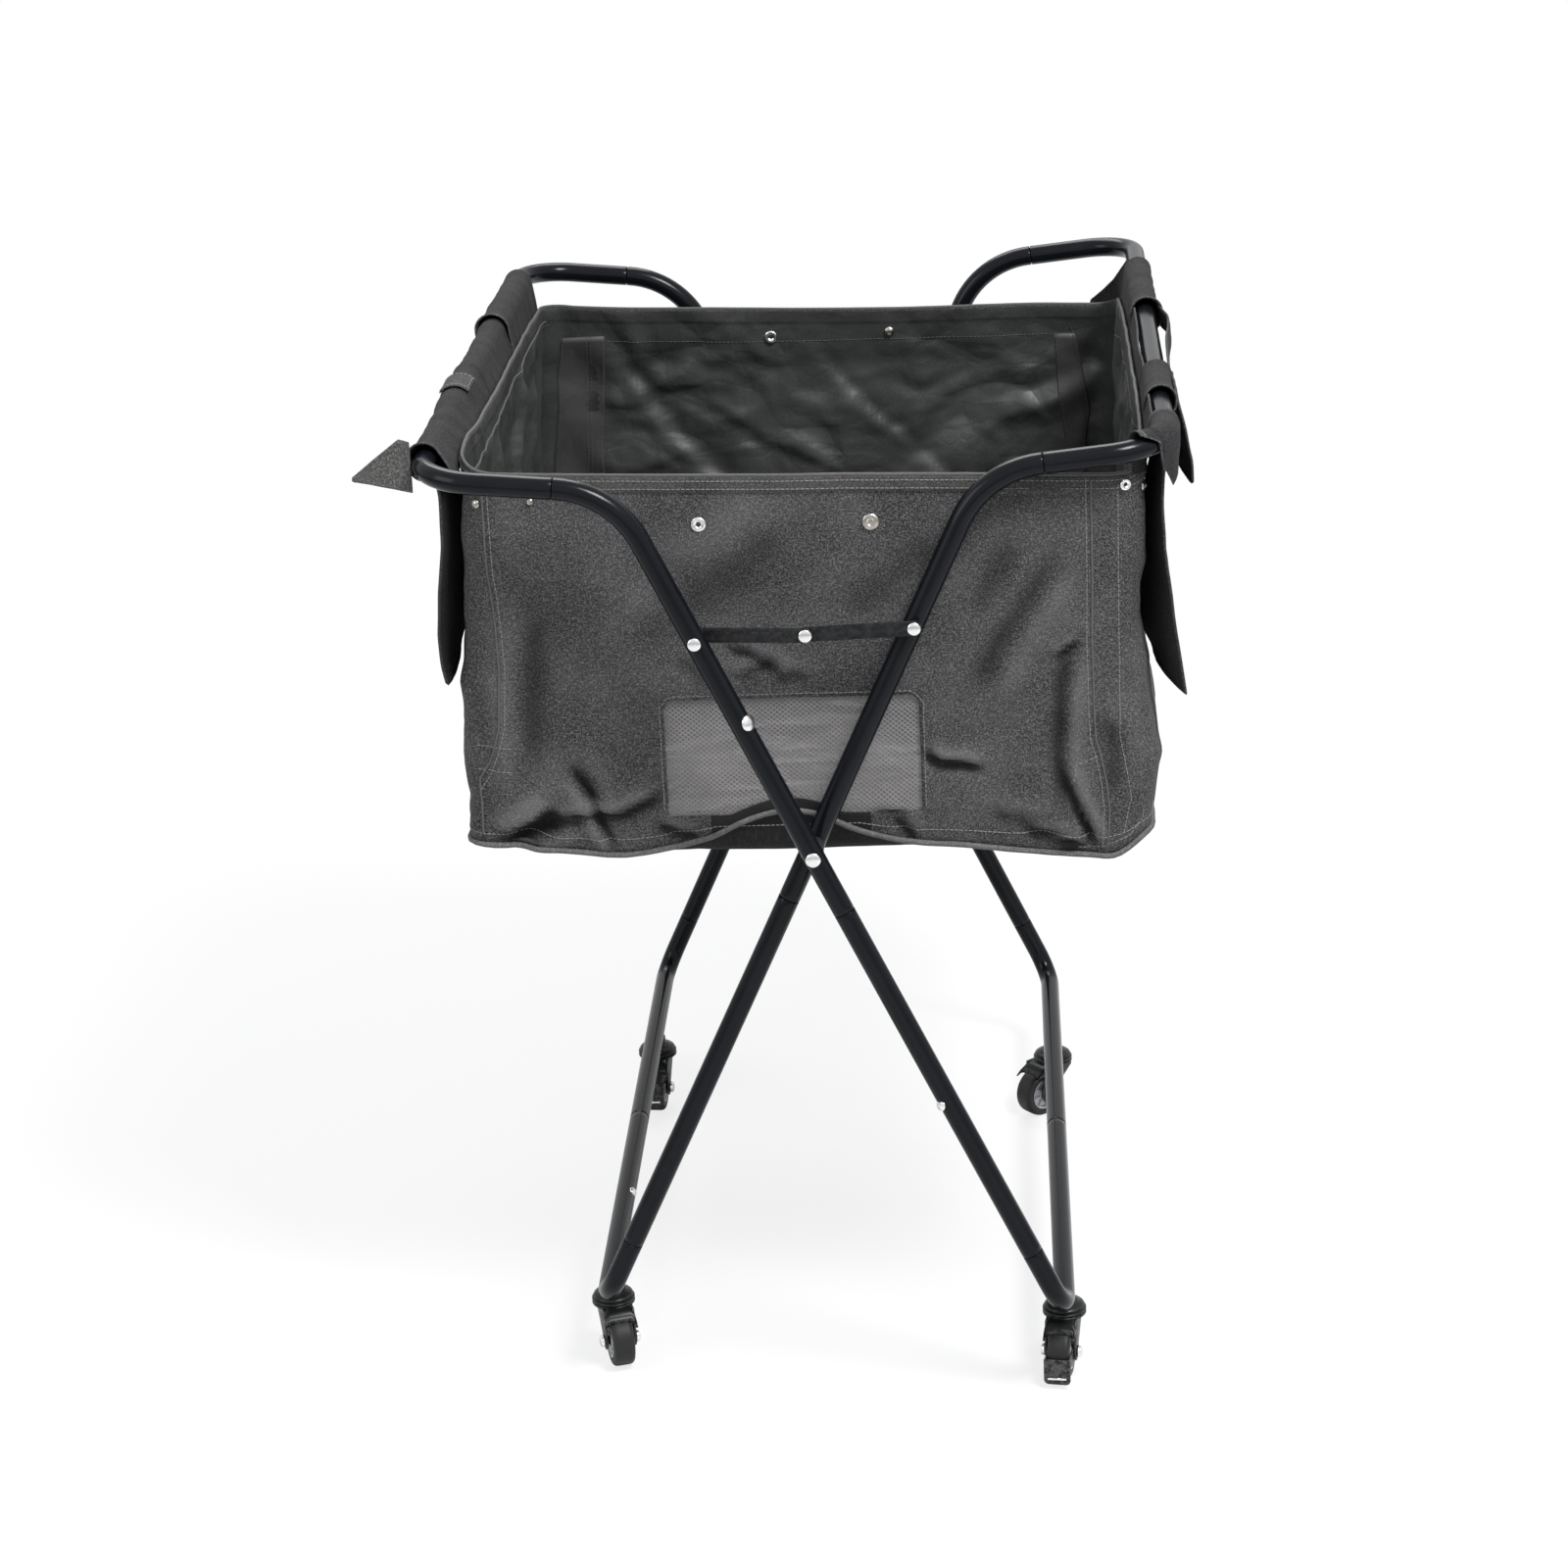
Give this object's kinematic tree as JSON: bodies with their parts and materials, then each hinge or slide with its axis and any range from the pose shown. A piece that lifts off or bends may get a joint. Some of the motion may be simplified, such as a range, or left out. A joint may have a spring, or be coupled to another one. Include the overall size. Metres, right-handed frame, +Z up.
{
  "type": "folding ball cart",
  "caption": "Folding ball cart: crossed steel tube loops carry a soft fabric bag with a net window, on swivel casters with pedal brakes.",
  "frame": {"origin": "on the floor, under the middle of the box that holds the whole cart", "axes": "+X to the right seen from the front, +Y from the front to the rear, +Z up"},
  "size_m": [0.7024, 0.81, 0.8964],
  "materials": {
    "frame_tube": "gloss black powder coat",
    "link_bar": "satin black powder coat",
    "caster_steel": "satin black",
    "brake_pedal": "satin black",
    "spacer": "matt",
    "rivet_steel": "bright zinc plate",
    "wheel_tread": "worn matt, with a light grey hub",
    "bag_fabric": "heathered woven polyester, coated inside",
    "window_net": "open diamond mesh",
    "strap_fabric": "heathered woven polyester"
  },
  "bodies": {
    "left_frame": {"left_frame_top_rail": "frame_tube", "left_frame_front_upper_leg": "frame_tube", "left_frame_front_lower_leg": "frame_tube", "left_frame_front_foot": "frame_tube", "left_frame_rear_upper_leg": "frame_tube", "left_frame_rear_lower_leg": "frame_tube", "left_frame_rear_foot": "frame_tube", "front_pivot_rivet": "rivet_steel", "front_pivot_spacer": "spacer", "rear_pivot_rivet": "rivet_steel", "rear_pivot_spacer": "spacer", "front_left_link_rivet": "rivet_steel", "rear_left_link_rivet": "rivet_steel", "front_right_caster_mount": "caster_steel", "rear_right_caster_mount": "caster_steel", "bag_shell": "bag_fabric", "bag_window_net": "window_net", "left_rear_wrap": "strap_fabric", "left_middle_wrap": "strap_fabric", "left_front_wrap": "strap_fabric", "left_hanging_flap": "strap_fabric", "left_corner_flap": "strap_fabric"},
    "right_frame": {"right_frame_top_rail": "frame_tube", "right_frame_front_upper_leg": "frame_tube", "right_frame_front_lower_leg": "frame_tube", "right_frame_front_foot": "frame_tube", "right_frame_rear_upper_leg": "frame_tube", "right_frame_rear_lower_leg": "frame_tube", "right_frame_rear_foot": "frame_tube", "front_right_link_rivet": "rivet_steel", "rear_right_link_rivet": "rivet_steel", "front_left_caster_mount": "caster_steel", "rear_left_caster_mount": "caster_steel", "right_rear_wrap": "strap_fabric", "right_middle_wrap": "strap_fabric", "right_front_wrap": "strap_fabric", "right_hanging_flap": "strap_fabric", "right_middle_flap": "strap_fabric"},
    "front_left_link": {"front_left_link": "link_bar", "front_middle_link_rivet": "rivet_steel"},
    "front_right_link": {"front_right_link": "link_bar"},
    "rear_left_link": {"rear_left_link": "link_bar"},
    "rear_right_link": {"rear_right_link": "link_bar", "rear_middle_link_rivet": "rivet_steel"},
    "front_left_caster": {"front_left_caster_fork": "caster_steel", "front_left_axle": "rivet_steel"},
    "front_left_wheel": {"front_left_wheel": "wheel_tread"},
    "front_right_caster": {"front_right_caster_fork": "caster_steel", "front_right_axle": "rivet_steel"},
    "front_right_wheel": {"front_right_wheel": "wheel_tread"},
    "front_right_brake": {"front_right_brake": "brake_pedal"},
    "rear_left_caster": {"rear_left_caster_fork": "caster_steel", "rear_left_axle": "rivet_steel"},
    "rear_left_wheel": {"rear_left_wheel": "wheel_tread"},
    "rear_left_brake": {"rear_left_brake": "brake_pedal"},
    "rear_right_caster": {"rear_right_caster_fork": "caster_steel", "rear_right_axle": "rivet_steel"},
    "rear_right_wheel": {"rear_right_wheel": "wheel_tread"}
  },
  "joints": [
    {"name": "fold", "type": "hinge", "parent": "left_frame", "child": "right_frame", "pos_m": [0.023, 0, 0.533], "axis": [0, -1, 0], "range_deg": [0, 36], "deforming": ["bag_shell", "bag_window_net"]},
    {"name": "front_left_link_turn", "type": "hinge", "parent": "left_frame", "child": "front_left_link", "pos_m": [-0.06933, -0.375, 0.731], "axis": [0, -1, 0], "range_deg": [0, 94]},
    {"name": "rear_left_link_turn", "type": "hinge", "parent": "left_frame", "child": "rear_left_link", "pos_m": [-0.06933, 0.375, 0.731], "axis": [0, -1, 0], "range_deg": [0, 94]},
    {"name": "front_right_link_turn", "type": "hinge", "parent": "right_frame", "child": "front_right_link", "pos_m": [0.11533, -0.375, 0.731], "axis": [0, 1, 0], "range_deg": [0, 94]},
    {"name": "rear_right_link_turn", "type": "hinge", "parent": "right_frame", "child": "rear_right_link", "pos_m": [0.11533, 0.375, 0.731], "axis": [0, 1, 0], "range_deg": [0, 94]},
    {"name": "front_left_swivel", "type": "hinge", "parent": "right_frame", "child": "front_left_caster", "pos_m": [-0.18591, -0.301, 0.057], "axis": [0, 0, 1], "continuous": true},
    {"name": "front_left_roll", "type": "hinge", "parent": "front_left_caster", "child": "front_left_wheel", "pos_m": [-0.18006, -0.32013, 0.025], "axis": [0.9563, 0.2924, 0], "continuous": true},
    {"name": "front_right_swivel", "type": "hinge", "parent": "left_frame", "child": "front_right_caster", "pos_m": [0.23191, -0.335, 0.057], "axis": [0, 0, 1], "continuous": true},
    {"name": "front_right_roll", "type": "hinge", "parent": "front_right_caster", "child": "front_right_wheel", "pos_m": [0.22843, -0.3547, 0.025], "axis": [0.9848, -0.1736, 0], "continuous": true},
    {"name": "front_right_brake_press", "type": "hinge", "parent": "front_right_caster", "child": "front_right_brake", "pos_m": [0.22843, -0.3547, 0.025], "axis": [0.9848, -0.1736, 0], "range_deg": [-20, 0]},
    {"name": "rear_left_swivel", "type": "hinge", "parent": "right_frame", "child": "rear_left_caster", "pos_m": [-0.18591, 0.24, 0.057], "axis": [0, 0, 1], "continuous": true},
    {"name": "rear_left_roll", "type": "hinge", "parent": "rear_left_caster", "child": "rear_left_wheel", "pos_m": [-0.1873, 0.22005, 0.025], "axis": [0.9976, -0.0698, 0], "continuous": true},
    {"name": "rear_left_brake_press", "type": "hinge", "parent": "rear_left_caster", "child": "rear_left_brake", "pos_m": [-0.1873, 0.22005, 0.025], "axis": [0.9976, -0.0698, 0], "range_deg": [0, 20]},
    {"name": "rear_right_swivel", "type": "hinge", "parent": "left_frame", "child": "rear_right_caster", "pos_m": [0.23191, 0.206, 0.057], "axis": [0, 0, 1], "continuous": true},
    {"name": "rear_right_roll", "type": "hinge", "parent": "rear_right_caster", "child": "rear_right_wheel", "pos_m": [0.21704, 0.19262, 0.025], "axis": [0.6691, -0.7431, 0], "continuous": true}
  ],
  "couplings": [
    {"joint": "front_left_link_turn", "follows": "fold", "ratio": 2.5864},
    {"joint": "front_right_link_turn", "follows": "fold", "ratio": 2.5864},
    {"joint": "rear_left_link_turn", "follows": "fold", "ratio": 2.5864},
    {"joint": "rear_right_link_turn", "follows": "fold", "ratio": 2.5864}
  ]
}
